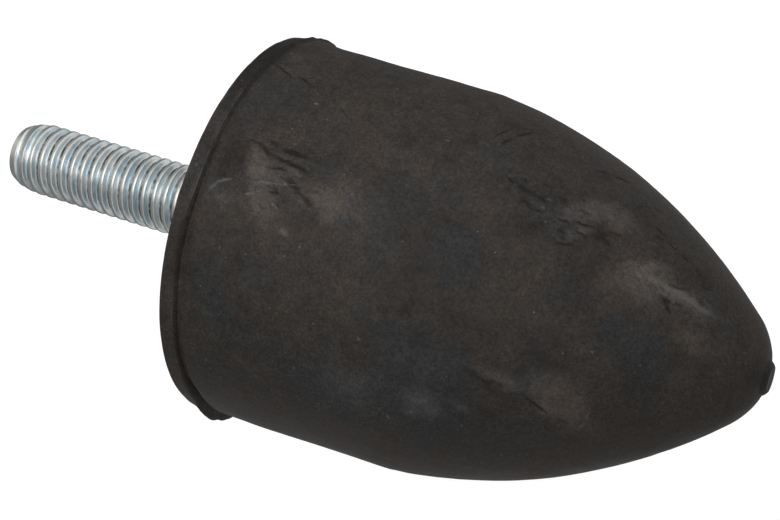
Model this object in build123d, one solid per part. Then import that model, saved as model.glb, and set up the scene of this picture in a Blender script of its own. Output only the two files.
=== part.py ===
from build123d import *
import os
from math import atan2, cos, radians, sin, sqrt

# Rubber buffer with a threaded stud. Millimetres, +Z along the axis towards the tip.
# The origin is where the stud leaves the underside, in the middle of the seat face.
# The underside lies on z = 0, the rubber is above it and the stud points down.

# Lip round the base, the band that wraps the edge of the steel disc
lip_radius = 24.6
lip_height = 2.0
lip_chamfer = 0.3

# Flash ridge that the mould's parting line leaves on the front edge of the lip
flash_height = 0.12
flash_width = 0.5

# Torn flash that stands out of the lip at the parting line, in round lumps on two sides:
# the angle from +X in degrees, how far it stands out of the lip, and the radius of its edge
flash_lumps = [
    (343, 0.75, 3.5),
    (353, 1.0, 6.0),
    (2, 1.2, 8.0),
    (174, 0.5, 3.0),
    (182, 0.55, 3.0),
    (181, 0.4, 17.0),
]
flash_thickness = 0.6
flash_edge_chamfer = 0.15

# Groove between the lip and the barrel: a short flank on the lip, a flat root, a long flank
groove_width = 1.3
groove_depth = 0.55
groove_lower_flank = 0.2
groove_root_width = 0.4

# Barrel, which tapers slightly up to the shoulder
barrel_root_radius = 24.4
shoulder_radius = 24.15
shoulder_height = 27.4

# Ogive from the shoulder to the nose. The turn is the slight corner at the shoulder, in degrees,
# and the ogive is lofted through this many circles on its arc.
shoulder_turn = 6.1
ogive_radius = 66.2
ogive_circles = 7
nose_radius = 9.0

# Nub that the gate leaves on the tip
nub_radius = 2.0
nub_height = 0.5
nub_chamfer = 0.15

# Steel disc that is bonded into the underside. The rubber between its edge and the root of
# the groove has this thickness, and a narrow lip brings the edge in with it.
plate_cover = 1.25
plate_radius = min(lip_radius, barrel_root_radius) - groove_depth - plate_cover
plate_thickness = 2.0

# Headed stud, 3/8-16 thread, 36.4 long under the disc. The thread's crests are the shank's wall.
shank_radius = 4.75
shank_length = 36.4
point_length = 1.6
point_radius = 3.85
neck_radius = 5.3
head_radius = 9.0
head_thickness = 2.5
head_chamfer = 0.5

# Clearances: the rubber's film of bonding agent, and the neck in the disc's hole
bond_gap = 0.03
neck_clearance = 0.05


def revolved(points):
    """Revolve a closed outline of straight lines in the XZ plane about the Z axis."""
    with BuildPart() as part:
        with BuildSketch(Plane.XZ):
            with BuildLine():
                Polyline(*points, close=True)
            make_face()
        revolve(axis=Axis.Z)
    return part.part


def ogive_centre():
    """Centre of the ogive's arc, which starts turned inwards from the line of the barrel."""
    turn = ogive_start()
    return (
        shoulder_radius - ogive_radius * cos(turn),
        shoulder_height - ogive_radius * sin(turn),
    )


def ogive_start():
    """Angle of the ogive's arc at the shoulder: the barrel's taper and the corner's turn."""
    barrel_height = shoulder_height - lip_height - groove_width
    return atan2(barrel_root_radius - shoulder_radius, barrel_height) + radians(shoulder_turn)


def nose_centre_height():
    """Height of the nose's centre, from the tangency of nose and ogive."""
    centre_x, centre_z = ogive_centre()
    return centre_z + sqrt((ogive_radius - nose_radius) ** 2 - centre_x**2)


def base_outline():
    """Half section of the base: underside, lip with its flash ridge, groove and barrel."""
    groove_root = barrel_root_radius - groove_depth
    groove_floor = lip_height + groove_lower_flank
    return [
        (0, 0),
        (lip_radius - lip_chamfer, 0),
        (lip_radius, lip_chamfer),
        (lip_radius, lip_height - flash_width),
        (lip_radius + flash_height, lip_height - flash_width / 2),
        (lip_radius, lip_height),
        (groove_root, groove_floor),
        (groove_root, groove_floor + groove_root_width),
        (barrel_root_radius, lip_height + groove_width),
        (shoulder_radius, shoulder_height),
        (0, shoulder_height),
    ]


def make_ogive():
    """Loft through circles on the ogive's arc, from the shoulder to the nose."""
    centre_x, centre_z = ogive_centre()
    start = ogive_start()
    end = atan2(nose_centre_height() - centre_z, -centre_x)
    with BuildPart() as ogive:
        for circle in range(ogive_circles):
            angle = start + (end - start) * circle / (ogive_circles - 1)
            with BuildSketch(Plane.XY.offset(centre_z + ogive_radius * sin(angle))):
                Circle(centre_x + ogive_radius * cos(angle))
        loft()
    return ogive.part


def make_nose():
    """Round nose, tangent to the ogive, with the gate's nub on its top."""
    centre_x, centre_z = ogive_centre()
    nose_z = nose_centre_height()
    tangency = atan2(nose_z - centre_z, -centre_x)
    base_z = centre_z + ogive_radius * sin(tangency)
    with BuildPart() as nose:
        with Locations((0, 0, nose_z)):
            Sphere(nose_radius)
        split(bisect_by=Plane.XY.offset(base_z), keep=Keep.TOP)
    tip_z = nose_z + nose_radius + nub_height
    nub = revolved([
        (0, base_z),
        (nub_radius, base_z),
        (nub_radius, tip_z - nub_chamfer),
        (nub_radius - nub_chamfer, tip_z),
        (0, tip_z),
    ])
    return nose.part + nub


def make_flash_lump(angle, reach, edge_radius):
    """Thin round disc inside the lip, set off the axis so that its edge stands out by the reach."""
    offset = lip_radius + reach - edge_radius
    with BuildPart(Location((0, 0, lip_height - flash_width))) as lump:
        with PolarLocations(offset, 1, start_angle=angle):
            Cylinder(edge_radius, flash_thickness)
        chamfer(lump.edges().filter_by(GeomType.CIRCLE), flash_edge_chamfer)
    return lump.part


def make_insert_room():
    """Room that the disc, the stud's head and the film of bonding agent take in the rubber."""
    pocket = plate_radius + bond_gap
    head = head_radius + bond_gap
    head_top = plate_thickness + head_thickness
    return revolved([
        (0, 0),
        (pocket, 0),
        (pocket, plate_thickness),
        (head, plate_thickness),
        (head, head_top - head_chamfer),
        (head - head_chamfer, head_top),
        (0, head_top),
    ])


def make_rubber_body():
    """The moulding, with its torn flash and the inserts' room in its underside."""
    body = revolved(base_outline()) + make_ogive() + make_nose()
    for angle, reach, edge_radius in flash_lumps:
        body += make_flash_lump(angle, reach, edge_radius)
    return body - make_insert_room()


def make_base_plate():
    """Blanked disc with a hole for the stud's neck."""
    hole_radius = neck_radius + neck_clearance
    return revolved([
        (hole_radius, 0),
        (plate_radius, 0),
        (plate_radius, plate_thickness),
        (hole_radius, plate_thickness),
    ])


def make_stud():
    """Flat head on the disc, neck in its hole, and the shank with its tapered point."""
    head_top = plate_thickness + head_thickness
    return revolved([
        (0, -shank_length),
        (point_radius, -shank_length),
        (shank_radius, point_length - shank_length),
        (shank_radius, 0),
        (neck_radius, 0),
        (neck_radius, plate_thickness),
        (head_radius, plate_thickness),
        (head_radius, head_top - head_chamfer),
        (head_radius - head_chamfer, head_top),
        (0, head_top),
    ])


def main():
    """Write one STEP file for each piece."""
    os.makedirs("parts", exist_ok=True)
    pieces = {
        "rubber_body": make_rubber_body(),
        "base_plate": make_base_plate(),
        "stud": make_stud(),
    }
    for name, piece in pieces.items():
        export_step(piece, f"parts/{name}.step")
        size = piece.bounding_box().size
        print(f"{name}: {piece.volume:.1f} mm3, {size.X:.2f} x {size.Y:.2f} x {size.Z:.2f} mm")


main()
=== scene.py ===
"""Rubber buffer with a threaded stud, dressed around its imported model.

The buffer's axis is Z, with the tip up and the stud down, and its seat face is on z = 0.
It lies on its side on a pale floor for the camera, so the floor stands beside it here.
"""

import logging
import math
from dataclasses import dataclass, field
from enum import Enum
from functools import reduce
from typing import Callable, Sequence

import bpy
import numpy as np
from mathutils import Matrix, Vector


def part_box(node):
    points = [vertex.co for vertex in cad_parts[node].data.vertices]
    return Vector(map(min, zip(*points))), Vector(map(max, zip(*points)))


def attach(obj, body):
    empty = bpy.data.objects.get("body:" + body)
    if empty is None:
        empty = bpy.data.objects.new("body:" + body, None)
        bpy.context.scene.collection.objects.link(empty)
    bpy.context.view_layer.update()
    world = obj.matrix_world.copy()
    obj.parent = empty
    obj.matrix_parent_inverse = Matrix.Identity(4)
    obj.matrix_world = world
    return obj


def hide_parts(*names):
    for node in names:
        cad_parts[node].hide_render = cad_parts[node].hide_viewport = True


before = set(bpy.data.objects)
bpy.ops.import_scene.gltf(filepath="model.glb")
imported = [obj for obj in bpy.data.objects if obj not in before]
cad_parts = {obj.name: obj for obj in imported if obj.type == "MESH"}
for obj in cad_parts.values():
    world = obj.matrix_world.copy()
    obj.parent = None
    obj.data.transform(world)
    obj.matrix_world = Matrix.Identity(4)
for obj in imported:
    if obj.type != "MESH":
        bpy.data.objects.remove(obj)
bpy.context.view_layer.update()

MM = 0.001
BODY = "root"
LOG = logging.getLogger("buffer")

Colour = tuple[float, float, float]
Triple = tuple[float, float, float]
Spot = tuple[float, float]
Wave = tuple[int, float, float]
Socket = bpy.types.NodeSocket


class TreeKind(Enum):
    """The kinds of node tree that the script builds."""

    SHADER = "ShaderNodeTree"
    GEOMETRY = "GeometryNodeTree"


class Wiring:
    """A node tree with short ways to add and link nodes."""

    def __init__(self, tree: bpy.types.NodeTree) -> None:
        """Keep a material's, world's or group's tree, which the nodes go into."""
        self.tree = tree

    def add(self, kind: str, links: dict[str | int, object] | None = None,
            **settings: object) -> bpy.types.Node:
        """Add one node.

        Args:
            kind: The node's type, such as "ShaderNodeMath".
            links: For each input, by name or index, a socket to link or a value to set.
            **settings: The node's own properties.

        Returns:
            The new node.
        """
        node = self.tree.nodes.new(kind)
        for name, value in settings.items():
            setattr(node, name, value)
        for key, value in (links or {}).items():
            self.feed(node.inputs[key], value)
        return node

    def feed(self, socket: Socket, value: object) -> None:
        """Link a socket to an input, or set the input's value.

        Args:
            socket: The input.
            value: An output socket, a number or a tuple.
        """
        if isinstance(value, bpy.types.NodeSocket):
            self.tree.links.new(value, socket)
        elif isinstance(value, tuple) and socket.type == "RGBA":
            socket.default_value = (*value, 1.0)
        else:
            socket.default_value = value

    def math(self, operation: str, *values: object, clamp: bool = False) -> Socket:
        """Add a Math node with its inputs in order, clamped between 0 and 1 or not."""
        links = dict(enumerate(values))
        return self.add("ShaderNodeMath", links, operation=operation, use_clamp=clamp).outputs[0]

    def product(self, *values: object) -> Socket:
        """Multiply two values or more, in order."""
        return reduce(lambda total, value: self.math("MULTIPLY", total, value), values)

    def weighted(self, *terms: tuple[object, object]) -> Socket:
        """Add up values, each times its weight.

        Args:
            *terms: Each value with its weight.

        Returns:
            The sum.
        """
        total: object = 0.0
        for value, weight in terms:
            total = self.math("MULTIPLY_ADD", value, weight, total)
        return total

    def vector(self, operation: str, *values: object, output: str = "Vector") -> Socket:
        """Add a Vector Math node with its inputs in order, and give its output Vector or Value."""
        links = dict(enumerate(values))
        return self.add("ShaderNodeVectorMath", links, operation=operation).outputs[output]

    def scaled(self, value: object, factor: object) -> Socket:
        """Scale a vector by a number."""
        return self.add("ShaderNodeVectorMath", {0: value, 3: factor}, operation="SCALE").outputs[0]

    def span(self, value: object, start: object, end: object, low: object = 0.0, high: object = 1.0,
             smooth: bool = True) -> Socket:
        """Map a value from one range to another, clamped.

        Args:
            value: The value.
            start: Where the result is low.
            end: Where the result is high.
            low: The result at start.
            high: The result at end.
            smooth: Whether the change eases in and out.

        Returns:
            The mapped value.
        """
        links = {"Value": value, "From Min": start, "From Max": end, "To Min": low, "To Max": high}
        kind = "SMOOTHSTEP" if smooth else "LINEAR"
        return self.add("ShaderNodeMapRange", links, interpolation_type=kind).outputs["Result"]

    def noise(self, place: object, size_mm: float, detail: float = 3.0, roughness: float = 0.55,
              seed: float = 0.0, distortion: float = 0.0) -> Socket:
        """Add a noise whose features have a real size.

        Args:
            place: The coordinates, in metres.
            size_mm: The size of a feature.
            detail: How many finer octaves it has.
            roughness: How strong they are.
            seed: Which noise of its kind it is.
            distortion: How far it is swirled.

        Returns:
            The noise, from 0 to 1 about 0.5.
        """
        links = {"Vector": place, "W": seed, "Scale": 1.0 / (size_mm * MM), "Detail": detail,
                 "Roughness": roughness, "Distortion": distortion}
        return self.add("ShaderNodeTexNoise", links, noise_dimensions="4D").outputs["Fac"]

    def shaken(self, value: object, place: object, size_mm: float, reach: float,
               detail: float = 3.0) -> Socket:
        """Shift unrolled coordinates by a noise, so that a shape drawn on them gets a ragged edge.

        Args:
            value: The unrolled coordinates, in millimetres.
            place: The coordinates that the noise reads, in metres.
            size_mm: The size of the noise's features.
            reach: How far it shifts, in millimetres.
            detail: How many finer octaves the noise has.

        Returns:
            The shifted coordinates.
        """
        links = {"Vector": place, "Scale": 1.0 / (size_mm * MM), "Detail": detail, "Roughness": 0.6}
        noise = self.add("ShaderNodeTexNoise", links).outputs["Color"]
        centred = self.vector("SUBTRACT", noise, (0.5, 0.5, 0.5))
        shift = self.vector("MULTIPLY", centred, (2.0 * reach, 2.0 * reach, 0.0))
        return self.vector("ADD", value, shift)

    def blend(self, share: object, first: object, second: object, mode: str = "MIX") -> Socket:
        """Mix two colours, by the share of the second."""
        links = {0: share, 6: first, 7: second}
        return self.add("ShaderNodeMix", links, data_type="RGBA", blend_type=mode).outputs[2]

    def layered(self, base: object, *layers: tuple[object, object]) -> Socket:
        """Lay colours over one another.

        Args:
            base: The lowest colour.
            *layers: The colours over it, each with its share before it.

        Returns:
            The mixed colour.
        """
        for share, colour in layers:
            base = self.blend(share, base, colour)
        return base

    def group(self, group: bpy.types.NodeTree, links: dict[str | int, object]) -> Socket:
        """Place a shader group that has one output, and feed its inputs by name."""
        return self.add("ShaderNodeGroup", links, node_tree=group).outputs[0]


class NodeGroup(Wiring):
    """A new node group with named inputs and outputs."""

    def __init__(self, name: str, kind: TreeKind = TreeKind.SHADER) -> None:
        """Make the empty group.

        Args:
            name: The group's name.
            kind: Whether it is for shading or for geometry.
        """
        super().__init__(bpy.data.node_groups.new(name, kind.value))
        self.source = self.tree.nodes.new("NodeGroupInput")
        self.sink = self.tree.nodes.new("NodeGroupOutput")

    def takes(self, name: str, kind: str = "NodeSocketFloat", value: object = None) -> Socket:
        """Declare an input.

        Args:
            name: The input's name.
            kind: Its socket type.
            value: Its default value.

        Returns:
            The socket to link from, inside the group.
        """
        item = self.tree.interface.new_socket(name, in_out="INPUT", socket_type=kind)
        if value is not None:
            item.default_value = value
        return self.source.outputs[name]

    def gives(self, name: str, socket: Socket, kind: str = "NodeSocketFloat") -> None:
        """Declare an output of a socket type, and link what it gives."""
        self.tree.interface.new_socket(name, in_out="OUTPUT", socket_type=kind)
        self.tree.links.new(socket, self.sink.inputs[name])


class MeshRule(NodeGroup):
    """A Geometry Nodes group that is run once on a piece, and leaves a plain mesh."""

    def __init__(self, name: str) -> None:
        """Make the group, with the inputs that each rule has.

        Args:
            name: The group's name.
        """
        super().__init__(name, TreeKind.GEOMETRY)
        self.geometry = self.takes("Geometry", "NodeSocketGeometry")
        self.material = self.takes("Material", "NodeSocketMaterial")
        self.position = self.add("GeometryNodeInputPosition").outputs[0]

    def move(self, links: dict[str | int, object]) -> None:
        """Move the points, realize the result, set its material and give it out.

        Args:
            links: The inputs of the node that moves the points, by name.
        """
        moved = self.add("GeometryNodeSetPosition", links).outputs[0]
        real = self.add("GeometryNodeRealizeInstances", {"Geometry": moved}).outputs[0]
        dressed = self.add("GeometryNodeSetMaterial", {"Geometry": real, "Material": self.material})
        self.gives("Geometry", dressed.outputs[0], "NodeSocketGeometry")

    def run(self, piece: bpy.types.Object, values: dict[str, object]) -> None:
        """Set the inputs, evaluate the tree and keep its mesh.

        Args:
            piece: The piece whose mesh the tree changes.
            values: The tree's inputs, by name.
        """
        modifier = piece.modifiers.new("rule", "NODES")
        modifier.node_group = self.tree
        identifiers = {
            item.name: item.identifier
            for item in self.tree.interface.items_tree
            if item.item_type == "SOCKET" and item.in_out == "INPUT"
        }
        for name, value in values.items():
            modifier[identifiers[name]] = value
        bpy.context.view_layer.update()
        evaluated = piece.evaluated_get(bpy.context.evaluated_depsgraph_get())
        mesh = bpy.data.meshes.new_from_object(evaluated)
        mesh.name = piece.name
        piece.modifiers.remove(modifier)
        piece.data = mesh


class SharedEffects:
    """The shader groups that the finishes use."""

    def __init__(self) -> None:
        """Build each group once."""
        self.mark = self._mark()
        self.mottle = self._mottle()
        self.specks = self._specks()
        self.scratches = self._scratches()

    @staticmethod
    def _mark() -> bpy.types.NodeTree:
        """Build a soft stroke of a given place, size and tilt, which adds to the strokes before it.

        Returns:
            The group, whose output Sum grows towards the middle of the stroke.
        """
        group = NodeGroup("soft_stroke")
        before = group.takes("Before")
        place = group.takes("Place", "NodeSocketVector")
        middle = group.takes("Middle", "NodeSocketVector")
        turn = group.takes("Turn", "NodeSocketVector")
        half_size = group.takes("Half Size", "NodeSocketVector", (1.0, 1.0, 1.0))
        strength = group.takes("Strength", value=1.0)
        links = {"Vector": place, "Location": middle, "Rotation": turn, "Scale": half_size}
        local = group.add("ShaderNodeMapping", links, vector_type="TEXTURE").outputs[0]
        cone = group.add("ShaderNodeTexGradient", {"Vector": local}, gradient_type="SPHERICAL")
        group.gives("Sum", group.math("MULTIPLY_ADD", cone.outputs["Fac"], strength, before))
        return group.tree

    @staticmethod
    def _mottle() -> bpy.types.NodeTree:
        """Build the cloudy change of tone of a surface, at three sizes together.

        Returns:
            The group, whose output Value is about 0.5.
        """
        group = NodeGroup("mottle")
        place = group.takes("Place", "NodeSocketVector")
        seed = group.takes("Seed")
        broad = group.noise(place, 9.0, 2.0, 0.5, seed, 0.6)
        middle = group.noise(place, 2.6, 3.0, 0.6, seed, 0.3)
        fine = group.noise(place, 0.8, 2.0, 0.6, seed)
        group.gives("Value", group.weighted((broad, 0.32), (middle, 0.38), (fine, 0.3)))
        return group.tree

    @staticmethod
    def _specks() -> bpy.types.NodeTree:
        """Build sparse grains of dust.

        Returns:
            The group, whose output Mask is 1 on a grain.
        """
        group = NodeGroup("specks")
        place = group.takes("Place", "NodeSocketVector")
        spacing = group.takes("Spacing", value=1.2 * MM)
        radius = group.takes("Radius", value=0.12)
        share = group.takes("Share", value=0.15)
        inverse = group.math("DIVIDE", 1.0, spacing)
        cells = group.add("ShaderNodeTexVoronoi", {"Vector": place, "Scale": inverse}, feature="F1")
        chance = group.add("ShaderNodeSeparateColor", {0: cells.outputs["Color"]})
        kept = group.math("LESS_THAN", chance.outputs[0], share)
        size = group.product(radius, chance.outputs[1])
        grain = group.span(cells.outputs["Distance"], size, group.product(size, 0.4))
        group.gives("Mask", group.product(grain, kept))
        return group.tree

    @staticmethod
    def _scratches() -> bpy.types.NodeTree:
        """Build fine handling scratches, as thin lines where a stretched noise crosses its middle.

        Returns:
            The group, whose output Mask is 1 on a scratch.
        """
        group = NodeGroup("scratches")
        place = group.takes("Place", "NodeSocketVector")
        stretch = group.takes("Stretch", "NodeSocketVector", (1.0, 1.0, 8.0))
        seed = group.takes("Seed")
        scaled = group.vector("DIVIDE", place, stretch)
        lines = group.noise(scaled, 0.5, 1.0, 0.5, seed)
        offset = group.math("ABSOLUTE", group.math("SUBTRACT", lines, 0.5))
        where = group.noise(place, 5.0, 2.0, 0.6, seed)
        thin = group.span(offset, 0.012, 0.0)
        group.gives("Mask", group.product(thin, group.span(where, 0.5, 0.65)))
        return group.tree


class MaterialTree(Wiring):
    """A new material's node tree."""

    def __init__(self, name: str) -> None:
        """Make the material.

        Args:
            name: Its name.
        """
        self.material = bpy.data.materials.new(name)
        self.material.use_nodes = True
        super().__init__(self.material.node_tree)


class Surface(MaterialTree):
    """The tree of a material that is one shader with a colour and a relief."""

    def __init__(self, name: str, effects: SharedEffects) -> None:
        """Make the material and find its shader and its coordinates.

        Args:
            name: Its name.
            effects: The shared groups.
        """
        super().__init__(name)
        self.effects = effects
        self.shader = self.tree.nodes["Principled BSDF"]
        self.place = self.add("ShaderNodeTexCoord").outputs["Object"]

    def effect(self, name: str, **values: object) -> Socket:
        """Place a shared group at the object's coordinates, with the values of its other inputs."""
        return self.group(getattr(self.effects, name), {"Place": self.place, **values})

    def uneven(self, noise: Socket, low: float, high: float) -> Socket:
        """Map a noise's usual range to a value from low to high."""
        return self.span(noise, 0.3, 0.7, low, high, smooth=False)

    def finish(self, relief: Socket, values: dict[str, object]) -> bpy.types.Material:
        """Feed the shader.

        Args:
            relief: The height of the relief in millimetres.
            values: The shader's other inputs, by name.

        Returns:
            The material.
        """
        bump = self.add("ShaderNodeBump", {"Height": relief, "Strength": 1.0, "Distance": MM})
        for name, value in {**values, "Normal": bump.outputs["Normal"]}.items():
            self.feed(self.shader.inputs[name], value)
        return self.material


class Glow(MaterialTree):
    """The tree of a material that shines by itself."""

    def __init__(self, name: str) -> None:
        """Make the material with nothing in its tree."""
        super().__init__(name)
        self.tree.nodes.clear()

    def shine(self, strength: object) -> Socket:
        """Add a white glow of a given strength."""
        return self.add("ShaderNodeEmission", {"Strength": strength}).outputs[0]

    def finish(self, surface: Socket) -> bpy.types.Material:
        """End the tree in a shader, and give the material."""
        self.add("ShaderNodeOutputMaterial", {"Surface": surface})
        return self.material


@dataclass(frozen=True)
class Mark:
    """A stroke on the rubber's skin, from one place to another, each an angle and a height."""

    start: Spot
    end: Spot
    width: float
    strength: float

    def centre(self) -> Spot:
        """Angle and height of its middle."""
        return ((self.start[0] + self.end[0]) / 2, (self.start[1] + self.end[1]) / 2)

    def run(self, wall_radius: float) -> Spot:
        """How far it runs round the wall and along the axis, in millimetres."""
        return (math.radians(self.end[0] - self.start[0]) * wall_radius, self.end[1] - self.start[1])


# Short dents that a tool or another part pressed into the skin, near the lip and on the ogive
DENTS = (
    Mark((240.0, 7.8), (241.2, 9.8), 0.5, 0.8),
    Mark((241.7, 7.0), (244.7, 9.4), 0.62, 1.0),
    Mark((241.5, 10.2), (241.8, 12.6), 0.5, 0.55),
    Mark((241.8, 9.9), (241.9, 14.3), 0.6, 1.0),
    Mark((242.5, 14.4), (242.3, 15.3), 0.35, 0.5),
    Mark((244.4, 9.4), (245.4, 12.2), 0.5, 0.9),
    Mark((244.6, 10.9), (246.6, 15.4), 0.56, 0.9),
    Mark((246.5, 13.5), (247.2, 15.2), 0.4, 0.5),
    Mark((248.5, 14.0), (249.0, 15.4), 0.4, 0.45),
    Mark((248.0, 9.3), (247.5, 12.4), 0.42, 0.8),
    Mark((249.4, 12.3), (252.6, 14.5), 0.8, 0.85),
    Mark((254.0, 10.4), (254.6, 12.4), 0.3, 0.9),
    Mark((252.8, 14.4), (255.2, 16.7), 0.8, 0.75),
    Mark((238.0, 6.5), (238.3, 7.0), 0.5, 0.4),
    Mark((241.3, 5.6), (241.7, 7.3), 0.4, 0.5),
    Mark((227.4, 35.8), (228.4, 37.4), 0.5, 0.7),
    Mark((225.4, 37.2), (226.4, 38.8), 0.4, 0.55),
    Mark((228.2, 37.6), (229.2, 39.9), 0.8, 1.0),
    Mark((229.0, 39.8), (229.4, 41.6), 0.4, 0.75),
    Mark((232.2, 38.3), (233.8, 40.2), 0.6, 0.85),
    Mark((233.8, 40.0), (233.0, 41.8), 0.5, 0.75),
    Mark((233.0, 42.8), (232.4, 44.6), 0.4, 0.85),
    Mark((230.2, 44.6), (229.4, 46.9), 0.4, 0.9),
    Mark((237.0, 43.3), (236.2, 44.8), 0.45, 0.7),
    Mark((234.0, 45.0), (234.0, 47.0), 0.45, 0.75),
    Mark((231.0, 47.2), (228.4, 48.8), 1.6, 0.6),
    Mark((227.0, 48.6), (226.2, 50.2), 0.5, 0.6),
    Mark((232.4, 47.4), (232.0, 50.0), 1.0, 0.55),
    Mark((241.4, 43.6), (239.2, 46.3), 0.4, 0.75),
    Mark((225.4, 42.4), (225.0, 43.2), 0.9, 0.7),
    Mark((226.2, 44.9), (225.0, 46.4), 0.4, 0.6),
    Mark((222.0, 44.0), (216.6, 44.4), 0.5, 0.45),
    Mark((210.0, 49.2), (200.0, 50.6), 0.5, 0.5),
    Mark((199.0, 50.6), (198.2, 51.9), 0.5, 0.6),
    Mark((209.6, 52.2), (210.2, 53.6), 0.4, 0.85),
    Mark((214.4, 52.8), (213.8, 53.7), 0.4, 0.7),
    Mark((212.8, 53.9), (212.0, 55.5), 0.4, 0.8),
    Mark((212.2, 56.0), (212.8, 57.0), 0.5, 0.8),
    Mark((214.4, 58.0), (216.6, 60.3), 0.8, 0.5),
    Mark((220.4, 58.8), (217.8, 60.4), 0.7, 0.5),
    Mark((234.4, 55.6), (229.0, 58.4), 0.7, 0.7),
    Mark((241.0, 55.7), (240.0, 58.1), 0.7, 0.75),
    Mark((241.4, 56.4), (247.0, 57.7), 0.6, 0.7),
)

# Thin cuts and folds: two at the lip, arcs under the top edge, and a gash low on the ogive
CUTS = (
    Mark((211.6, 2.4), (217.1, 6.7), 0.32, 0.7),
    Mark((214.1, 6.0), (218.2, 9.6), 0.3, 0.7),
    Mark((220.4, 12.3), (227.5, 16.9), 0.5, 0.35),
    Mark((216.4, 32.0), (206.6, 33.3), 0.4, 0.55),
    Mark((206.6, 33.3), (201.4, 35.4), 0.4, 0.35),
    Mark((217.6, 33.4), (210.8, 34.1), 0.45, 0.65),
    Mark((210.8, 34.1), (203.8, 35.3), 0.6, 0.7),
    Mark((204.6, 43.4), (199.8, 45.2), 0.45, 0.6),
    Mark((199.8, 45.2), (195.0, 47.5), 0.5, 0.8),
    Mark((294.8, 45.4), (301.2, 47.9), 0.3, 1.0),
    Mark((292.6, 44.6), (295.0, 45.6), 0.6, 0.35),
    Mark((303.4, 48.8), (306.0, 50.2), 0.5, 0.5),
)

# Areas that are darker: patches over the wall, bands along the foot of the barrel just over the groove, a
# spot on the nub, and a band round the lip's upper side that is painted shade
DARK_PATCHES_AND_LIP_SHADE = (
    Mark((240.0, 3.8), (256.0, 4.8), 3.4, 0.9),
    Mark((243.0, 5.4), (254.0, 6.6), 1.0, 0.3),
    # Painted shade: darkens the lip's band on its upper side, which faces the lamps
    Mark((186.0, 1.0), (236.0, 1.0), 3.2, 1.3),
    Mark((239.0, 39.4), (239.2, 42.8), 2.8, 0.7),
    Mark((233.0, 47.0), (238.0, 50.0), 2.6, 0.4),
    Mark((210.0, 43.6), (198.0, 46.0), 2.6, 0.4),
    Mark((205.0, 49.0), (212.0, 54.0), 3.6, 0.4),
    Mark((212.0, 56.0), (216.0, 60.0), 4.0, 0.5),
    Mark((286.0, 38.0), (295.0, 43.0), 1.8, 0.65),
    Mark((276.0, 44.0), (284.0, 47.0), 4.6, 0.4),
    Mark((296.0, 41.0), (312.0, 43.0), 4.4, 0.3),
    Mark((300.0, 55.0), (318.0, 58.0), 6.0, 0.3),
    Mark((256.0, 30.0), (270.0, 35.0), 6.0, 0.35),
    Mark((266.0, 3.6), (300.0, 3.6), 2.0, 0.35),
    Mark((262.0, 60.0), (275.0, 64.0), 4.0, 0.35),
    Mark((264.0, 67.4), (264.0, 68.2), 5.0, 0.7),
)

# Dusty and pale areas
PALE_PATCHES = (
    Mark((243.6, 7.0), (254.6, 9.0), 2.4, 0.8),
    Mark((243.2, 6.8), (246.6, 8.2), 1.4, 0.35),
    Mark((255.0, 9.2), (258.4, 11.9), 3.0, 0.9),
    Mark((257.0, 4.2), (262.0, 6.6), 3.2, 0.5),
    Mark((246.4, 12.0), (247.8, 14.2), 0.6, 0.6),
    Mark((249.0, 8.6), (252.0, 13.0), 3.4, 0.75),
    Mark((243.0, 9.0), (246.0, 14.0), 3.0, 0.4),
    Mark((251.0, 15.0), (255.0, 19.0), 3.4, 0.8),
    Mark((259.0, 8.0), (265.0, 14.0), 3.6, 0.4),
    Mark((246.0, 17.0), (256.0, 24.0), 6.0, 0.5),
    Mark((230.0, 20.0), (240.0, 34.0), 7.0, 0.25),
    Mark((230.6, 43.4), (221.8, 46.8), 2.8, 1.15),
    Mark((219.0, 46.0), (220.0, 50.0), 3.6, 1.0),
    Mark((237.0, 44.4), (230.0, 46.6), 1.8, 0.9),
    Mark((235.0, 52.0), (242.0, 54.6), 3.4, 0.8),
    Mark((229.0, 53.0), (229.0, 55.6), 2.2, 0.6),
    Mark((241.0, 50.0), (246.0, 56.0), 4.4, 0.6),
    Mark((235.6, 52.4), (233.2, 61.6), 2.4, 1.1),
    Mark((285.6, 40.0), (292.4, 44.8), 2.4, 0.9),
    Mark((288.0, 46.0), (296.0, 50.6), 5.0, 0.9),
    Mark((298.4, 37.6), (302.2, 39.6), 1.6, 0.7),
    Mark((298.0, 33.6), (306.4, 35.0), 4.6, 0.8),
    Mark((296.0, 47.0), (308.0, 52.0), 5.0, 0.6),
    Mark((296.0, 20.0), (306.0, 30.0), 8.0, 0.4),
    Mark((248.0, 58.6), (262.0, 61.6), 3.0, 0.6),
)

# Areas where the skin has many fine creases along the axis
CREASED = (
    Mark((238.0, 10.0), (258.0, 12.0), 13.0, 0.9),
    Mark((224.0, 37.0), (232.0, 50.0), 9.0, 0.9),
    Mark((214.0, 52.0), (240.0, 60.0), 9.0, 0.8),
    Mark((285.0, 36.0), (300.0, 46.0), 8.0, 0.6),
)

# Areas where the black is bluish and not brown
COOL = (
    Mark((284.0, 32.0), (312.0, 36.0), 13.0, 0.9),
    Mark((300.0, 16.0), (312.0, 28.0), 9.0, 0.6),
    Mark((250.0, 32.0), (262.0, 37.0), 6.0, 0.8),
    Mark((282.0, 6.0), (300.0, 9.0), 5.0, 0.6),
    Mark((262.0, 52.0), (276.0, 58.0), 6.0, 0.6),
)

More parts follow.
